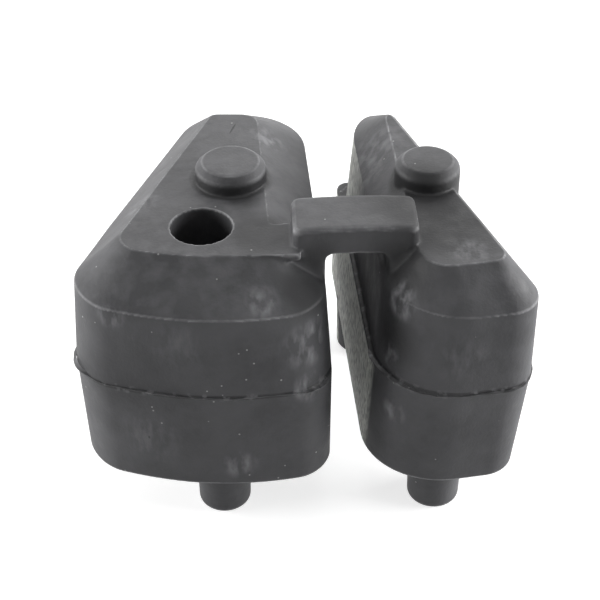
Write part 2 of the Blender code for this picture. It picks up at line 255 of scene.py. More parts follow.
def build_lobe(name, lobe):
    """Cut a cylinder at each level and pull its rings onto the outlines."""
    levels = lobe_levels(lobe)
    heights = [height for height, ring in levels]
    count = len(levels[0][1])
    depth = heights[-1] - heights[0]
    bpy.ops.object.select_all(action="DESELECT")
    bpy.ops.mesh.primitive_cylinder_add(
        vertices=count, radius=20.0, depth=depth, location=(0.0, 0.0, heights[0] + depth / 2))
    lobe_piece = name_new(name)
    bpy.ops.object.mode_set(mode="EDIT")
    for height in heights[1:-1]:
        bpy.ops.mesh.select_all(action="SELECT")
        bpy.ops.mesh.bisect(plane_co=(0.0, 0.0, height), plane_no=(0.0, 0.0, 1.0))
    shape = bmesh.from_edit_mesh(lobe_piece.data)
    for point in shape.verts:
        level = min(range(len(heights)), key=lambda k: abs(heights[k] - point.co.z))
        turn = math.atan2(point.co.y, point.co.x) % math.tau
        point.co = levels[level][1][round(turn / math.tau * count) % count]
    bmesh.update_edit_mesh(lobe_piece.data)
    bpy.ops.object.mode_set(mode="OBJECT")
    print(name, "has", len(lobe_piece.data.polygons), "faces on", len(heights), "levels")
    return lobe_piece


large_lobe = build_lobe("large_lobe", LARGE_LOBE)
small_lobe = build_lobe("small_lobe", SMALL_LOBE)

# %% [markdown]
# ## The round hole
# The hole in the large lobe lets the rubber swell when it is squeezed. It is cut with a Boolean, because
# that is a clean circle in a flat face. The cutter is a cylinder that stands a little out of the top, so
# that no thin skin is left over the hole.

# %% Cut the hole
HOLE_AT = (-15.7, -36.1)
HOLE_RADIUS = 4.0
HOLE_DEPTH = 22.0


def round_bar(name, centre, radius, low, high, sides=96):
    """An upright cylinder between two heights."""
    bpy.ops.object.select_all(action="DESELECT")
    middle = (centre[0], centre[1], (low + high) / 2)
    bpy.ops.mesh.primitive_cylinder_add(vertices=sides, radius=radius, depth=high - low, location=middle)
    return name_new(name)


def cut_away(piece, cutter):
    """Subtract the cutter from the piece and delete the cutter."""
    apply_modifier(piece, "BOOLEAN", operation="DIFFERENCE", solver="EXACT", object=cutter)
    bpy.data.objects.remove(cutter)


hole_cutter = round_bar("hole_cutter", HOLE_AT, HOLE_RADIUS, TOP_Z - HOLE_DEPTH, TOP_Z + 1.0)
cut_away(large_lobe, hole_cutter)
print("the large lobe with its hole has", len(large_lobe.data.polygons), "faces")

# %% [markdown]
# ## The knobs on top
# Each flat top carries a low round knob that bears on the sprocket carrier. It has an upright side, a
# broad bevel and a flat crown. We take a cylinder, inset its top face and lift the inset part, which draws
# the bevel in one step. The Bevel operator then softens the two rings, the crown's a little and the
# shoulder's more. The foot stays sunk in the lobe, so that the two will fuse.

# %% Model the knobs
KNOB_BEVEL_HEIGHT, KNOB_BEVEL_WIDTH = 0.95, 1.0
CROWN_SOFTNESS, SHOULDER_SOFTNESS = 0.1, 0.45
KNOB_SUNK = 2.0


def build_knob(name, centre, radius, height):
    """A round knob with a broad bevel, standing on the flat top."""
    shoulder = TOP_Z + height - KNOB_BEVEL_HEIGHT
    knob = round_bar(name, centre, radius, TOP_Z - KNOB_SUNK, shoulder)
    bpy.ops.object.mode_set(mode="EDIT")
    pick_faces(knob, lambda middle, normal: normal.z > 0.9)
    bpy.ops.mesh.inset(thickness=KNOB_BEVEL_WIDTH)
    bpy.ops.transform.translate(value=(0.0, 0.0, KNOB_BEVEL_HEIGHT))
    pick_edges(knob, lambda a, b: abs(a.z - b.z) < 0.01 and a.z > shoulder + 0.01)
    bpy.ops.mesh.bevel(offset=CROWN_SOFTNESS, segments=3)
    pick_edges(knob, lambda a, b: abs(a.z - shoulder) < 0.01 and abs(b.z - shoulder) < 0.01)
    bpy.ops.mesh.bevel(offset=SHOULDER_SOFTNESS, segments=5)
    bpy.ops.object.mode_set(mode="OBJECT")
    print(name, "stands", round(height, 1), "mm above the flat top")
    return knob


large_knob = build_knob("large_knob", (-12.3, -24.8), 4.8, 2.7)
small_knob = build_knob("small_knob", (14.0, -24.6), 4.4, 2.8)

# %% [markdown]
# ## The pegs underneath
# Four pegs fit holes in the hub, so that the damper can't turn. They are all alike: one is modelled, a
# cylinder narrowed a little towards its end with Resize and softened with Bevel, and the others are copies,
# each with its own mesh.

# %% Model one peg and copy it
PEG_RADIUS = 3.7
PEG_TAPER = 0.96
PEG_SOFTNESS = 0.8
PEG_SUNK = 1.6
PEG_PLACES = ((-13.45, -44.5), (-11.0, -10.5), (15.5, -43.7), (6.3, -10.5))

first_peg = round_bar("peg", (0.0, 0.0), PEG_RADIUS, 0.0, UNDERSIDE_Z + PEG_SUNK)
bpy.ops.object.mode_set(mode="EDIT")
pick_faces(first_peg, lambda middle, normal: normal.z < -0.9)
bpy.ops.transform.resize(value=(PEG_TAPER, PEG_TAPER, 1.0))
pick_edges(first_peg, lambda a, b: a.z < 0.01 and b.z < 0.01)
bpy.ops.mesh.bevel(offset=PEG_SOFTNESS, segments=5)
bpy.ops.object.mode_set(mode="OBJECT")

pegs = []
for place in PEG_PLACES:
    peg = first_peg.copy()
    peg.data = first_peg.data.copy()
    peg.data.transform(Matrix.Translation((place[0], place[1], 0.0)))
    bpy.context.scene.collection.objects.link(peg)
    pegs.append(peg)
bpy.data.objects.remove(first_peg)
print("made", len(pegs), "pegs")

# %% [markdown]
# ## The bridge
# The bridge is a short bar that stands on both lobes and spans the gap. A cube primitive is stretched to
# the bar's size, its upright corners and its top rim are bevelled, and it is bisected into eight parts, so
# that its top can be bent down a little towards both ends. A second cube with two round top corners cuts
# the arch that the vane passes under. The gap drifts sideways along its length, so the arch is turned with
# it.

# %% Model the bridge
BRIDGE_LENGTH, BRIDGE_WIDTH = 16.0, 7.8
BRIDGE_TOP = 43.1
BRIDGE_FOOT = 31.0
BRIDGE_CROWN = 0.3
BRIDGE_CORNER, BRIDGE_RIM, BRIDGE_PARTS = 1.1, 0.65, 8
GAP_DRIFT, GAP_LENGTH = 4.3, 51.5
BRIDGE_Y = -37.1
BRIDGE_X = GAP_DRIFT * -BRIDGE_Y / GAP_LENGTH + 0.8
BRIDGE_TURN = math.radians(2.5)
GAP_TURN = math.atan(GAP_DRIFT / GAP_LENGTH)
ARCH_WIDTH, ARCH_CROWN, ARCH_ROUND = 8.0, 39.2, 1.4


def turn_in_plan(piece, angle, centre):
    """Turn a mesh about an upright line through a point in plan."""
    pivot = Matrix.Translation((centre[0], centre[1], 0.0))
    piece.data.transform(pivot @ Matrix.Rotation(angle, 4, "Z") @ pivot.inverted())


def add_block(name, low, high):
    """A cube primitive stretched between two opposite corners."""
    bpy.ops.object.select_all(action="DESELECT")
    size = [b - a for a, b in zip(low, high)]
    middle = [(a + b) / 2 for a, b in zip(low, high)]
    bpy.ops.mesh.primitive_cube_add(size=1.0, location=middle, scale=size)
    return name_new(name)


bridge = add_block(
    "bridge",
    (BRIDGE_X - BRIDGE_LENGTH / 2, BRIDGE_Y - BRIDGE_WIDTH / 2, BRIDGE_FOOT),
    (BRIDGE_X + BRIDGE_LENGTH / 2, BRIDGE_Y + BRIDGE_WIDTH / 2, BRIDGE_TOP))
bpy.ops.object.mode_set(mode="EDIT")
pick_edges(bridge, lambda a, b: abs(a.z - b.z) > 1.0)
bpy.ops.mesh.bevel(offset=BRIDGE_CORNER, segments=6)
pick_edges(bridge, lambda a, b: min(a.z, b.z) > BRIDGE_TOP - 0.01)
bpy.ops.mesh.bevel(offset=BRIDGE_RIM, segments=4)
for step in range(1, BRIDGE_PARTS):
    bpy.ops.mesh.select_all(action="SELECT")
    cut_x = BRIDGE_X + BRIDGE_LENGTH * (step / BRIDGE_PARTS - 0.5)
    bpy.ops.mesh.bisect(plane_co=(cut_x, 0.0, 0.0), plane_no=(1.0, 0.0, 0.0))
bpy.ops.object.mode_set(mode="OBJECT")
for vertex in bridge.data.vertices:
    if vertex.co.z > BRIDGE_TOP - 1.0:
        vertex.co.z -= BRIDGE_CROWN * (2 * (vertex.co.x - BRIDGE_X) / BRIDGE_LENGTH) ** 2
turn_in_plan(bridge, BRIDGE_TURN, (BRIDGE_X, BRIDGE_Y))

arch_cutter = add_block(
    "arch_cutter",
    (BRIDGE_X - ARCH_WIDTH / 2, BRIDGE_Y - BRIDGE_WIDTH, PARTING_Z),
    (BRIDGE_X + ARCH_WIDTH / 2, BRIDGE_Y + BRIDGE_WIDTH, ARCH_CROWN))
bpy.ops.object.mode_set(mode="EDIT")
pick_edges(arch_cutter, lambda a, b: min(a.z, b.z) > ARCH_CROWN - 0.01 and abs(a.x - b.x) < 0.01)
bpy.ops.mesh.bevel(offset=ARCH_ROUND, segments=8)
bpy.ops.object.mode_set(mode="OBJECT")
turn_in_plan(arch_cutter, GAP_TURN, (BRIDGE_X, BRIDGE_Y))
cut_away(bridge, arch_cutter)
print("the bridge has", len(bridge.data.polygons), "faces")

# %% [markdown]
# ## The shelf
# A small step of the large lobe, the shelf, carries the bridge's end over the chamfer, and a thin lip stands
# out from its top edge. Both are plain blocks: remeshing and smoothing will round them with the rest.

# %% Model the shelf and its lip
SHELF_REACH, SHELF_BACK, SHELF_LAP = 5.2, 2.1, 1.2
LIP_PROUD, LIP_THICKNESS, LIP_LAP = 1.0, 1.1, 1.0

shelf_end = BRIDGE_X - BRIDGE_LENGTH / 2
bridge_front = BRIDGE_Y - BRIDGE_WIDTH / 2
shelf = add_block(
    "shelf",
    (shelf_end - SHELF_REACH, bridge_front, EDGE_Z),
    (shelf_end + SHELF_LAP, BRIDGE_Y + SHELF_BACK, TOP_Z))
lip = add_block(
    "lip",
    (shelf_end - SHELF_REACH, bridge_front - LIP_PROUD, TOP_Z - LIP_THICKNESS),
    (shelf_end + LIP_LAP, BRIDGE_Y, TOP_Z))
for block in (shelf, lip):
    turn_in_plan(block, BRIDGE_TURN, (BRIDGE_X, BRIDGE_Y))
print("the shelf reaches", SHELF_REACH, "mm past the bridge's end")

# %% [markdown]
# ## Fuse everything into one moulding
# Rubber flows round every inside corner of its mould, so nothing on the part is truly sharp. Joining the
# pieces and remeshing them as voxels fuses them into one skin. Smoothing then takes the sharpness off all
# edges and inside corners.

# %% Join, remesh and smooth
VOXEL = 0.2
SMOOTH_ROUNDS = 2

rubber_body = large_lobe
select_only(rubber_body, small_lobe, large_knob, small_knob, bridge, shelf, lip, *pegs)
bpy.ops.object.join()
rubber_body.name = "moulded_rubber"
apply_modifier(rubber_body, "REMESH", mode="VOXEL", voxel_size=VOXEL, use_smooth_shade=True)
print("the fused skin has", len(rubber_body.data.polygons), "faces")
apply_modifier(rubber_body, "SMOOTH", factor=0.5, iterations=SMOOTH_ROUNDS)

# %% [markdown]
# ## The bridge's feet
# Under the bridge the mould has wider rounds, so the bridge's feet run into the lobes' chamfers without a
# crease. We weight the points near the feet, fully in the middle and fading out on all sides, and smooth
# them many times more. The weights fade at the flat tops, which stay flat. Last, Decimate takes away the
# faces that flat areas don't need. It leaves four-sided faces too, so we count what they make in triangles.

# %% Soften the feet and thin out
FEET_ROUNDS = 50
FEET_TOP, FEET_LOW = TOP_Z - 0.6, 29.0
FEET_REACH, FEET_HALF = 4.0, 10.0
KEPT_SHARE = 0.22

feet = rubber_body.vertex_groups.new(name="bridge_feet")
for vertex in rubber_body.data.vertices:
    weight = min(
        (FEET_TOP - vertex.co.z) / 1.0,
        (vertex.co.z - FEET_LOW) / 2.0,
        (FEET_REACH - abs(vertex.co.y - bridge_front)) / 1.5,
        (FEET_HALF - abs(vertex.co.x - BRIDGE_X)) / 2.0)
    if weight > 0.0:
        feet.add([vertex.index], min(weight, 1.0), "REPLACE")
apply_modifier(rubber_body, "SMOOTH", factor=0.5, iterations=FEET_ROUNDS, vertex_group=feet.name)


def count_triangles(piece):
    """How many triangles the faces of a piece make."""
    return sum(len(face.vertices) - 2 for face in piece.data.polygons)


apply_modifier(rubber_body, "DECIMATE", decimate_type="COLLAPSE", ratio=KEPT_SHARE)
print("after thinning it has", count_triangles(rubber_body), "triangles")

# %% [markdown]
# ## The mould line
# Where the two halves of the mould meet, a little rubber creeps out and leaves a thin ragged fin round each
# lobe. It is trimmed by hand, so it comes and goes. First we need points at even spacing round a lobe's
# outline, each with the direction that points outwards there, and noise that changes slowly along the line.

# %% Points round an outline and slow noise
FIN_STEPS = 900


def evenly_along(ring, count):
    """Points at even spacing round a closed outline, each with its outward direction."""
    lengths = [0.0]
    for index, point in enumerate(ring):
        lengths.append(lengths[-1] + (ring[(index + 1) % len(ring)] - point).length)
    marks, side = [], 0
    for step in range(count):
        distance = lengths[-1] * step / count
        while lengths[side + 1] < distance:
            side += 1
        start, end = ring[side], ring[(side + 1) % len(ring)]
        share = (distance - lengths[side]) / max(lengths[side + 1] - lengths[side], 1e-9)
        marks.append((start.lerp(end, share), distance))
    placed = []
    for index, (point, distance) in enumerate(marks):
        along = marks[(index + 1) % count][0] - marks[index - 1][0]
        placed.append((point, Vector((along.y, -along.x, 0.0)).normalized(), distance))
    return placed


def ragged(distance, length, seed):
    """Smooth noise along the line, from about -1 to 1, that repeats nothing over the part."""
    return 2.0 * noise.noise(Vector((distance / length, seed, 0.37 * seed)))


trial = evenly_along(outline(LARGE_LOBE, [0.0] * 4, LARGE_LOBE["lower_radii"], PARTING_Z), FIN_STEPS)
print("the large lobe's mould line is", round(trial[-1][2]), "mm long")

# %% [markdown]
# ## The fins
# A torus primitive with a four-sided section is a closed ribbon, so each of its points is moved to follow
# the lobe's outline, in and out by the noise. At one corner of the large lobe the knife missed a strip,
# which curls up.

# %% Model the trimmed fins
FIN_SECTION = ((-0.5, -0.16), (0.0, -0.05), (0.0, 0.05), (-0.5, 0.16))
FIN_LEAST, FIN_MOST = 0.03, 0.5
CURL_AT = Vector((-33.2, -43.6, PARTING_Z))
CURL_LENGTH, CURL_OUT, CURL_UP = 4.0, 0.7, 0.6


def build_fin(name, lobe, seed):
    """A thin ribbon round a lobe at its mould line, with a trimmed, uneven edge."""
    line = evenly_along(outline(lobe, [0.0] * 4, lobe["lower_radii"], PARTING_Z), FIN_STEPS)
    bpy.ops.object.select_all(action="DESELECT")
    bpy.ops.mesh.primitive_torus_add(
        major_segments=FIN_STEPS, minor_segments=4, major_radius=20.0, minor_radius=2.0)
    fin = name_new(name)
    for index, vertex in enumerate(fin.data.vertices):
        point, outward, distance = line[index // 4]
        reach, rise = FIN_SECTION[index % 4]
        proud = 0.2 + 0.2 * ragged(distance, 7.0, seed) + 0.08 * ragged(distance, 1.7, seed + 5)
        height = PARTING_Z + 0.22 * ragged(distance, 11.0, seed + 2)
        height += 0.07 * ragged(distance, 2.5, seed + 3)
        curl = max(0.0, 1.0 - (point - CURL_AT).length / CURL_LENGTH)
        proud = max(FIN_LEAST, min(FIN_MOST, proud)) + CURL_OUT * curl
        height += CURL_UP * curl
        edge = point + outward * (proud + reach)
        vertex.co = Vector((edge.x, edge.y, height + rise))
    bpy.ops.object.mode_set(mode="EDIT")
    bpy.ops.mesh.select_all(action="SELECT")
    bpy.ops.mesh.normals_make_consistent(inside=False)
    bpy.ops.object.mode_set(mode="OBJECT")
    print(name, "runs", round(line[-1][2]), "mm round its lobe")
    return fin


large_fin = build_fin("large_fin", LARGE_LOBE, 3.0)
small_fin = build_fin("small_fin", SMALL_LOBE, 21.0)
select_only(rubber_body, large_fin, small_fin)
bpy.ops.object.join()

# %% [markdown]
# ## Where edges stick out
# Edges that stick out are worn pale by handling, and the same pale colour paints the highlight that light
# puts on rounded edges. For each point we measure how far its neighbours fall away from its tangent plane,
# divided by their distance squared. That is nearly nothing on a flat wall and about one for each millimetre
# on a tight edge. The values are kept with the mesh, for the material to read.

# %% Measure the edges
def measure_bends(piece):
    """Store how sharply each point sticks out, averaged with its neighbours, as a layer for pale edges, worn
    and with painted highlight.
    """
    shape = bmesh.new()
    shape.from_mesh(piece.data)
    shape.normal_update()
    bends = []
    for point in shape.verts:
        falls = [0.0]
        for edge in point.link_edges:
            away = edge.other_vert(point).co - point.co
            falls.append(-point.normal.dot(away) / max(away.length_squared, 0.01))
        bends.append(sum(falls) / len(falls))
    means = []
    for point in shape.verts:
        near = [bends[edge.other_vert(point).index] for edge in point.link_edges]
        means.append((bends[point.index] + sum(near)) / (1 + len(near)))
    shape.free()
    layer = piece.data.attributes.new("worn_and_highlit", "FLOAT", "POINT")
    layer.data.foreach_set("value", means)
    return means


bends = measure_bends(rubber_body)
print("points on tight edges:", len([bend for bend in bends if bend > 0.4]), "of", len(bends))

# %% [markdown]
# ## Put the moulding in its place
# The CAD part's origin is under the middle of its footprint, with the gap along Y. Our drawing started at
# the hub end of the gap, so one matrix turns it, moves it and shrinks it from millimetres to metres. A fin
# that sticks out past the CAD box is pressed back to it, as the trimmer's knife would do.

# %% Move to the CAD frame
FOOTPRINT_SHIFT = (6.259, 24.768, 0.0)

to_frame = (
    Matrix.Scale(0.001, 4)
    @ Matrix.Translation(FOOTPRINT_SHIFT)
    @ Matrix.Rotation(-GAP_TURN, 4, "Z"))
rubber_body.data.transform(to_frame)
for vertex in rubber_body.data.vertices:
    vertex.co = [min(max(value, low), high) for value, low, high in zip(vertex.co, cad_low, cad_high)]
select_only(rubber_body)
bpy.ops.object.shade_smooth_by_angle(angle=math.radians(50.0))
print("finished skin:", count_triangles(rubber_body), "triangles")

# %% [markdown]
# ## Helpers for materials
# Hex colours are written as they look on screen, so one function turns them into the linear values that
# shaders use. One more adds a node, fills or links its inputs and hands back an output to link onwards.

# %% Helpers for colours and nodes
def linear(hex_colour):
    """Turn an sRGB hex colour into the linear values that shaders use."""
    channels = [int(hex_colour[k:k + 2], 16) / 255 for k in (1, 3, 5)]
    bent = [c / 12.92 if c <= 0.04045 else ((c + 0.055) / 1.055) ** 2.4 for c in channels]
    return (*bent, 1.0)


def add_node(tree, kind, inputs=(), output=0, **settings):
    """Add a node, set its properties, fill or link its inputs and return one of its outputs."""
    node = tree.nodes.new(kind)
    for key, value in settings.items():
        setattr(node, key, value)
    for socket, value in dict(inputs).items():
        if isinstance(value, bpy.types.NodeSocket):
            tree.links.new(value, node.inputs[socket])
        else:
            node.inputs[socket].default_value = value
    return node.outputs[output]


print("mid grey is", [round(channel, 3) for channel in linear("#808080")[:3]])

# %% [markdown]
# ## Vulcanised black rubber
# Moulded rubber is black right through, with a dull skin that shines softly and broadly. Old stock is never
# clean: the compound blooms in cloudy patches, talc and dust sit on top, and edges are rubbed pale. Some
# shade and highlight are painted into the colour too. The layers start with wide clouds of about 9 mm and
# blotches of 2.5 mm. We measure in millimetres, so that every size below is a real one. Real rubber grain is
# under 0.1 mm, too fine to show, so it is drawn at 0.4.

# %% The rubber: places, clouds and grain
rubber = bpy.data.materials.new("moulded_black_rubber")
rubber.use_nodes = True
tree = rubber.node_tree
shader = tree.nodes["Principled BSDF"]

place = add_node(tree, "ShaderNodeTexCoord", output="Object")
place = add_node(tree, "ShaderNodeVectorMath", {0: place, "Scale": 1000.0}, operation="SCALE")
facing = add_node(tree, "ShaderNodeNewGeometry", output="Normal")
facing = add_node(tree, "ShaderNodeSeparateXYZ", {0: facing}, "X").node
spot = add_node(tree, "ShaderNodeSeparateXYZ", {0: place}, "X").node

clouds = add_node(tree, "ShaderNodeTexNoise", {"Vector": place, "Scale": 1 / 9.0, "Detail": 4.0})
blotches = add_node(tree, "ShaderNodeTexNoise", {"Vector": place, "Scale": 1 / 2.5, "Detail": 5.0})
grain = add_node(tree, "ShaderNodeTexNoise", {"Vector": place, "Scale": 1 / 0.4, "Detail": 3.0})
clouds = add_node(tree, "ShaderNodeMapRange", {0: clouds, 1: 0.35, 2: 0.65})
print("three sizes of noise are ready")

# %% [markdown]
# ## Dust, pale edges and specks
# Dust settles only where the surface faces up. Edges that stick out are paled, by the values that we
# measured: partly wear and partly a painted highlight. Talc leaves small pale specks, drawn as the centres
# of scattered Voronoi cells.

# %% The rubber: dust, edges and specks
upward = add_node(tree, "ShaderNodeMapRange", {0: facing.outputs["Z"], 1: 0.45, 2: 1.0})
powder = add_node(tree, "ShaderNodeMapRange", {0: blotches, 1: 0.42, 2: 0.68, 3: 0.05, 4: 0.5})
dust = add_node(tree, "ShaderNodeMath", {0: upward, 1: powder}, operation="MULTIPLY")

sharpness = add_node(tree, "ShaderNodeAttribute", output="Fac", attribute_name="worn_and_highlit")
sharpness = add_node(tree, "ShaderNodeMapRange", {0: sharpness, 1: 0.16, 2: 0.6})
patchy = add_node(tree, "ShaderNodeMapRange", {0: blotches, 1: 0.38, 2: 0.6, 3: 0.35, 4: 0.95})
# Pale edges: partly wear, partly a painted highlight on rounded edges.
worn_and_highlit = add_node(tree, "ShaderNodeMath", {0: sharpness, 1: patchy}, operation="MULTIPLY")

cells = add_node(tree, "ShaderNodeTexVoronoi", {"Vector": place, "Scale": 1 / 1.7}).node
tiny = {0: cells.outputs["Distance"], 1: 0.05, 2: 0.09, 3: 0.55, 4: 0.0}
tiny = add_node(tree, "ShaderNodeMapRange", tiny)
chosen = add_node(tree, "ShaderNodeMath", {0: cells.outputs["Color"], 1: 0.7}, operation="GREATER_THAN")
specks = add_node(tree, "ShaderNodeMath", {0: tiny, 1: chosen}, operation="MULTIPLY")
print("dust, rubbed edges and specks are ready")

# %% [markdown]
# ## Smears, dark patches and cuts
# The part has been handled and tried in a hub. Pale smears and dark patches are kept to a few places, each a
# soft ball in space. Most dark patches are painted shade: in front of the bridge's feet, on the front sides
# of the knobs, in the small lobe's corner at the mouth of the gap and in and round the hole. The others
# darken the small lobe's flat top, the shelf and the large lobe's front wall. Smears let streaky noise
# through, and the dark patches are plain. A few cuts, where a knife slipped, are balls drawn out long and
# thin.

# %% The rubber: smears, dark patches of painted shade, and cuts
SMEARS = (
    ((-5.4, -21.9, 36.6), 2.8, 0.8), ((0.3, -22.6, 29.9), 4.4, 0.95), ((0.5, -23.6, 23.5), 3.0, 0.9),
    ((-24.4, -20.2, 34.1), 2.4, 0.7), ((-8.9, -24.0, 11.0), 3.0, 0.7), ((12.0, -20.9, 34.7), 3.4, 0.8),
    ((10.8, -20.7, 25.9), 2.4, 0.8), ((11.4, -22.9, 17.9), 2.4, 0.8), ((-20.5, -3.0, 40.0), 4.0, 0.5),
    ((21.0, -18.0, 40.0), 3.5, 0.45), ((6.0, 25.0, 22.0), 5.0, 0.6), ((-12.0, 24.8, 18.0), 6.0, 0.6),
    ((27.0, -4.0, 20.0), 5.0, 0.6), ((-24.0, 2.0, 20.0), 6.0, 0.6), ((-15.9, -23.0, 30.8), 5.0, 0.2),
    ((19.4, -25.7, 29.0), 5.0, 0.22), ((-3.0, 12.0, 38.0), 4.0, 0.6), ((-20.0, -20.0, 15.0), 6.0, 0.3),
    ((11.5, 9.0, 37.0), 8.0, 0.4))
# Dark balls: most are painted shade in front of the bridge, on the knobs' fronts, in the gap's front corner
# and in the hole.
DARK_PATCHES_AND_SHADE = (
    ((17.2, -11.0, 40.0), 13.0, 0.9), ((-4.6, -12.4, 40.0), 6.5, 0.6), ((0.5, -20.5, 37.0), 5.5, 0.85),
    ((12.5, -18.5, 38.0), 6.5, 0.9), ((17.0, -5.2, 41.0), 6.0, 0.95), ((-7.0, -4.6, 41.3), 3.4, 0.6),
    ((9.5, -22.0, 29.0), 6.5, 0.9), ((-12.4, -9.9, 40.0), 7.0, 0.4), ((2.0, -17.5, 39.0), 3.5, 0.7),
    ((-12.0, -29.5, 40.0), 4.0, 0.4), ((-24.0, -24.0, 26.0), 9.0, 0.35))

masks = []
for places in (SMEARS, DARK_PATCHES_AND_SHADE):
    balls = add_node(tree, "ShaderNodeValue")
    for centre, radius, strength in places:
        away = add_node(tree, "ShaderNodeVectorMath", {0: place, 1: centre}, "Value", operation="DISTANCE")
        reach = {0: away, 1: radius * 0.3, 2: radius, 3: strength, 4: 0.0}
        ball = add_node(tree, "ShaderNodeMapRange", reach, interpolation_type="SMOOTHSTEP")
        balls = add_node(tree, "ShaderNodeMath", {0: balls, 1: ball}, operation="MAXIMUM")
    masks.append(balls)
smears, dark_patches_and_shade = masks

streaky = add_node(
    tree, "ShaderNodeMapping", {"Vector": place, "Rotation": (0.0, 0.35, 0.0), "Scale": (1.3, 1.0, 0.5)})
streaky = add_node(tree, "ShaderNodeTexNoise", {"Vector": streaky, "Scale": 1 / 1.6, "Detail": 5.0})
streaky = add_node(tree, "ShaderNodeMapRange", {0: streaky, 1: 0.42, 2: 0.68})
smears = add_node(tree, "ShaderNodeMath", {0: smears, 1: streaky}, operation="MULTIPLY")
CUTS = (
    ((19.3, -13.4, 40.0), -0.25, 2.3), ((-7.2, 13.6, 40.0), 1.2, 1.6), ((-22.0, -22.4, 15.0), 0.3, 2.0))
cuts = add_node(tree, "ShaderNodeValue")
for centre, turn, half_length in CUTS:
    stretch = {"Vector": place, "Location": centre, "Rotation": (0.0, 0.0, turn)}
    stretch["Scale"] = (half_length, 0.16, 0.5)
    along = add_node(tree, "ShaderNodeMapping", stretch, vector_type="TEXTURE")
    away = add_node(tree, "ShaderNodeVectorMath", {0: along}, "Value", operation="LENGTH")
    slit = add_node(tree, "ShaderNodeMapRange", {0: away, 1: 0.7, 2: 1.0, 3: 0.9, 4: 0.0})
    cuts = add_node(tree, "ShaderNodeMath", {0: cuts, 1: slit}, operation="MAXIMUM")
print("smears:", len(SMEARS), "stains:", len(DARK_PATCHES_AND_SHADE), "cuts:", len(CUTS))

# %% [markdown]
# ## Painted shade round the knobs
# The upright side of a knob faces the dark flat top round it and gets little light, so its shade is painted
# in, nearly black. In plan each side is a ring round the knob's axis, so a mask of the distance to that ring
# finds it, and a height range keeps the mask below the knob's bevel and above the chamfer, so it also shades
# the flat top close round the foot.

# %% The rubber: painted shade round the knobs
KNOB_RINGS = (((-8.06, 1.08, 0.0), 4.8), ((18.16, -0.91, 0.0), 4.4))

in_plan = add_node(tree, "ShaderNodeVectorMath", {0: place, 1: (1.0, 1.0, 0.0)}, operation="MULTIPLY")
# Painted shade on each knob's upright side and on the top close round its foot.
painted_knob_shade = add_node(tree, "ShaderNodeValue")
for centre, radius in KNOB_RINGS:
    away = add_node(tree, "ShaderNodeVectorMath", {0: in_plan, 1: centre}, "Value", operation="DISTANCE")
    away = add_node(tree, "ShaderNodeMath", {0: away, 1: radius}, operation="SUBTRACT")
    away = add_node(tree, "ShaderNodeMath", {0: away}, operation="ABSOLUTE")
    ring = add_node(tree, "ShaderNodeMapRange", {0: away, 1: 0.3, 2: 0.9, 3: 1.0, 4: 0.0})
    painted_knob_shade = add_node(tree, "ShaderNodeMath", {0: painted_knob_shade, 1: ring}, operation="MAXIMUM")
under_bevel = add_node(tree, "ShaderNodeMapRange", {0: spot.outputs["Z"], 1: 41.3, 2: 41.9, 3: 0.9, 4: 0.0})
above_chamfer = add_node(tree, "ShaderNodeMapRange", {0: spot.outputs["Z"], 1: 37.0, 2: 38.0})
for share in (under_bevel, above_chamfer):
    painted_knob_shade = add_node(tree, "ShaderNodeMath", {0: painted_knob_shade, 1: share}, operation="MULTIPLY")
print("grime lies round", len(KNOB_RINGS), "knobs")

# %% [markdown]
# ## The vane's side and the mould line
# The small lobe's side of the gap was rough in the mould, and the vane has worn it pale below the mould
# line.
# Towards the hub the pale streaks are painted light, where the back light falls on this side. Only faces
# that look straight across the gap get this. Along the mould line runs a dark line of painted shade under
# the fin, flecked where the fin was pulled off.

# %% The rubber: worn and painted-light side, painted shade under the fin, flecks
VANE_SIDE_X = 8.7

# Pale streaks on the gap side: wear below the mould line, painted light towards the hub.
vane_wear_and_light = add_node(
    tree, "ShaderNodeMapping", {"Vector": place, "Rotation": (0.15, 0.0, 0.0), "Scale": (1.0, 1.2, 0.5)})
vane_wear_and_light = add_node(tree, "ShaderNodeTexNoise", {"Vector": vane_wear_and_light, "Scale": 1 / 0.6, "Detail": 6.0})
vane_wear_and_light = add_node(tree, "ShaderNodeMapRange", {0: vane_wear_and_light, 1: 0.38, 2: 0.58, 3: 0.45, 4: 1.0})
below = add_node(tree, "ShaderNodeMapRange", {0: spot.outputs["Z"], 1: 22.6, 2: 23.4, 3: 1.0, 4: 0.0})
painted_light_hubward = add_node(tree, "ShaderNodeMapRange", {0: spot.outputs["Y"], 1: 4.0, 2: 15.0, 3: 0.0, 4: 0.9})
worn_and_lit = add_node(tree, "ShaderNodeMath", {0: below, 1: painted_light_hubward}, operation="MAXIMUM")
sideways = {0: facing.outputs["X"], 1: -0.985, 2: -0.95, 3: 1.0, 4: 0.0}
sideways = add_node(tree, "ShaderNodeMapRange", sideways)
inside = add_node(tree, "ShaderNodeMath", {0: spot.outputs["X"], 1: VANE_SIDE_X}, operation="SUBTRACT")
inside = add_node(tree, "ShaderNodeMath", {0: inside}, operation="ABSOLUTE")
inside = add_node(tree, "ShaderNodeMapRange", {0: inside, 1: 3.2, 2: 4.0, 3: 1.0, 4: 0.0})
for share in (worn_and_lit, sideways, inside):
    vane_wear_and_light = add_node(tree, "ShaderNodeMath", {0: vane_wear_and_light, 1: share}, operation="MULTIPLY")

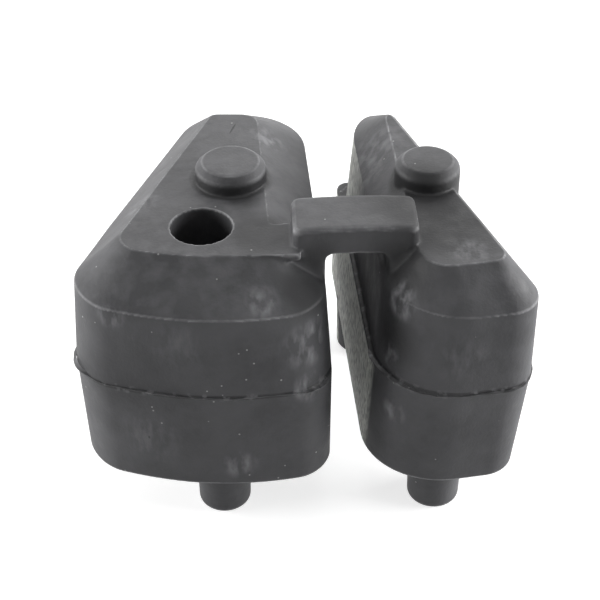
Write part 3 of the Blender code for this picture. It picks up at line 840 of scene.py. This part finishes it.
from_line = add_node(tree, "ShaderNodeMath", {0: spot.outputs["Z"], 1: PARTING_Z}, operation="SUBTRACT")
from_line = add_node(tree, "ShaderNodeMath", {0: from_line}, operation="ABSOLUTE")
near_line = add_node(tree, "ShaderNodeMapRange", {0: from_line, 1: 0.15, 2: 0.75, 3: 0.7, 4: 0.0})
torn = add_node(tree, "ShaderNodeTexNoise", {"Vector": place, "Scale": 1 / 1.3, "Detail": 5.0})
flecks = add_node(tree, "ShaderNodeMapRange", {0: torn, 1: 0.54, 2: 0.68})
flecks = add_node(tree, "ShaderNodeMath", {0: near_line, 1: flecks}, operation="MULTIPLY")
# The dark line along the mould line is painted shade under the fin.
painted_fin_shade = add_node(tree, "ShaderNodeMapRange", {0: from_line, 1: 0.25, 2: 0.45, 3: 0.75, 4: 0.0})
print("the whitened side, the crease and the flecks are ready")

# %% [markdown]
# ## Put the layers together
# Each layer's mask lets a paler or a darker grey through over what lies below. The bloom dulls the skin in
# patches, so the roughness follows the blotches too. Two bumps finish it: slow waves, because a rubber face
# is never quite flat, and the fine grain.

# %% The rubber: colour, roughness and bump
# Painted light in these layers: the pale edges are partly a painted highlight; most dark balls, the knobs'
# dark sides and the line under the fin are painted shade; the vane's pale side is painted light towards the
# hub.
LAYERS = (
    (powder, "#545456"), (dust, "#6e6e70"), (worn_and_highlit, "#a0a0a2"), (dark_patches_and_shade, "#1c1c1d"), (vane_wear_and_light, "#f0f2ea"),
    (painted_knob_shade, "#19191a"), (painted_fin_shade, "#1d1d1e"), (flecks, "#767678"), (smears, "#88888b"), (cuts, "#1d1d1e"),
    (specks, "#c4c4c2"))
colour = add_node(
    tree, "ShaderNodeMix", {0: clouds, 6: linear("#38383a"), 7: linear("#4a4a4c")}, 2, data_type="RGBA")
for mask, over in LAYERS:
    colour = add_node(tree, "ShaderNodeMix", {0: mask, 6: colour, 7: linear(over)}, 2, data_type="RGBA")
tree.links.new(colour, shader.inputs["Base Color"])
dullness = add_node(tree, "ShaderNodeMapRange", {0: blotches, 1: 0.3, 2: 0.7, 3: 0.5, 4: 0.68})
tree.links.new(dullness, shader.inputs["Roughness"])
shader.inputs["Specular IOR Level"].default_value = 0.3

waves = add_node(tree, "ShaderNodeTexNoise", {"Vector": place, "Scale": 1 / 5.0, "Detail": 2.0})
relief = add_node(tree, "ShaderNodeBump", {"Height": waves, "Strength": 0.5, "Distance": 0.0004})
skin = {"Height": grain, "Normal": relief, "Strength": 0.3, "Distance": 0.00012}
relief = add_node(tree, "ShaderNodeBump", skin)
tree.links.new(relief, shader.inputs["Normal"])
rubber_body.data.materials.clear()
rubber_body.data.materials.append(rubber)
print("rubber has", len(tree.nodes), "nodes")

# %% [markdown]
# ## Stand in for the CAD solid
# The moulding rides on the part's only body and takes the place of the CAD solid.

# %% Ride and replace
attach(rubber_body, "root")
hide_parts("damper_rubber")
print("the moulding replaces the CAD solid")

# %% [markdown]
# ## Floor
# The part stands on plain white paper. For light that bounces, the paper is plain pale paper. For the
# camera it also glows faintly, just enough to come out white, and still darkens where the part shades it.

# %% The paper floor
bpy.ops.object.select_all(action="DESELECT")
bpy.ops.mesh.primitive_plane_add(size=8.0, location=(0.0, 0.0, 0.0))
floor = name_new("paper_floor")
paper = bpy.data.materials.new("white_paper")
paper.use_nodes = True
tree = paper.node_tree
sheet = tree.nodes["Principled BSDF"]
sheet.inputs["Base Color"].default_value = linear("#d0d0d0")
sheet.inputs["Roughness"].default_value = 0.9


def seen_directly(tree):
    """A value of 1 for light that the camera sees, straight, mirrored or through something clear."""
    rays = add_node(tree, "ShaderNodeLightPath").node
    seen = rays.outputs["Is Camera Ray"]
    for other in ("Is Glossy Ray", "Is Transmission Ray"):
        seen = add_node(tree, "ShaderNodeMath", {0: seen, 1: rays.outputs[other]}, operation="MAXIMUM")
    return seen


spread = add_node(tree, "ShaderNodeTexCoord", output="Object")
spread = add_node(tree, "ShaderNodeVectorMath", {0: spread}, "Value", operation="LENGTH")
spread = add_node(tree, "ShaderNodeMapRange", {0: spread, 1: 0.05, 2: 0.35, 3: 0.72, 4: 1.0})
glow = add_node(tree, "ShaderNodeEmission", {"Color": linear("#ffffff"), "Strength": spread})
lit = add_node(tree, "ShaderNodeAddShader", {0: glow, 1: sheet.outputs[0]})
blend = add_node(tree, "ShaderNodeMixShader", {0: seen_directly(tree), 1: sheet.outputs[0], 2: lit})
tree.links.new(blend, tree.nodes["Material Output"].inputs["Surface"])
floor.data.materials.append(paper)
print("the floor is", floor.dimensions.x, "m wide")

# %% [markdown]
# ## Light
# A light tent gives the soft look of a shop picture. One wide sheet of light stands behind the part, so the
# tops and the edges shine and the front stays dark. A lamp at each side brings out the sloped faces, and a
# weak one in front keeps the front walls from going black.

# %% Lamps and world
def add_lamp(name, place, wide, high, power):
    """A soft rectangular lamp that faces the part."""
    lamp = bpy.data.lights.new(name, "AREA")
    lamp.shape = "RECTANGLE"
    lamp.size = wide
    lamp.size_y = high
    lamp.energy = power
    holder = bpy.data.objects.new(name, lamp)
    holder.location = place
    holder.rotation_euler = (AIM - Vector(place)).to_track_quat("-Z", "Y").to_euler()
    bpy.context.scene.collection.objects.link(holder)


AIM = Vector((0.0, 0.0, 0.02))
add_lamp("lamp_back", (0.05, 0.55, 0.36), 1.0, 0.5, 3.9)
add_lamp("lamp_left", (-0.54, 0.05, 0.13), 0.4, 0.25, 3.6)
add_lamp("lamp_right", (0.54, -0.02, 0.13), 0.4, 0.25, 5.6)
add_lamp("lamp_top", (0.0, 0.05, 0.60), 0.4, 0.4, 0.5)
add_lamp("lamp_front", (-0.1, -0.60, 0.35), 0.4, 0.4, 0.05)

world = bpy.data.worlds.new("light_tent")
bpy.context.scene.world = world
world.use_nodes = True
tree = world.node_tree
air = tree.nodes["Background"]
air.inputs["Color"].default_value = linear("#ffffff")
level = add_node(tree, "ShaderNodeMapRange", {0: seen_directly(tree), 3: 0.10, 4: 1.0})
tree.links.new(level, air.inputs["Strength"])

# %% [markdown]
# ## Camera
# The camera looks down on the rim side of the part from about 38 degrees above it, through a long lens.
# Its place was worked out from points of the part that can be recognised in the photograph.

# %% Camera and colour
camera_data = bpy.data.cameras.new("camera")
camera_data.sensor_width = 36.0
camera_data.lens = 92.79
camera = bpy.data.objects.new("camera", camera_data)
camera.location = (-0.01328, -0.17282, 0.15439)
camera.rotation_euler = (math.radians(52.117), 0.0, math.radians(-4.773))
bpy.context.scene.collection.objects.link(camera)
bpy.context.scene.camera = camera
bpy.context.scene.view_settings.view_transform = "Standard"
print("camera stands", round(camera.location.length, 3), "m from the origin")
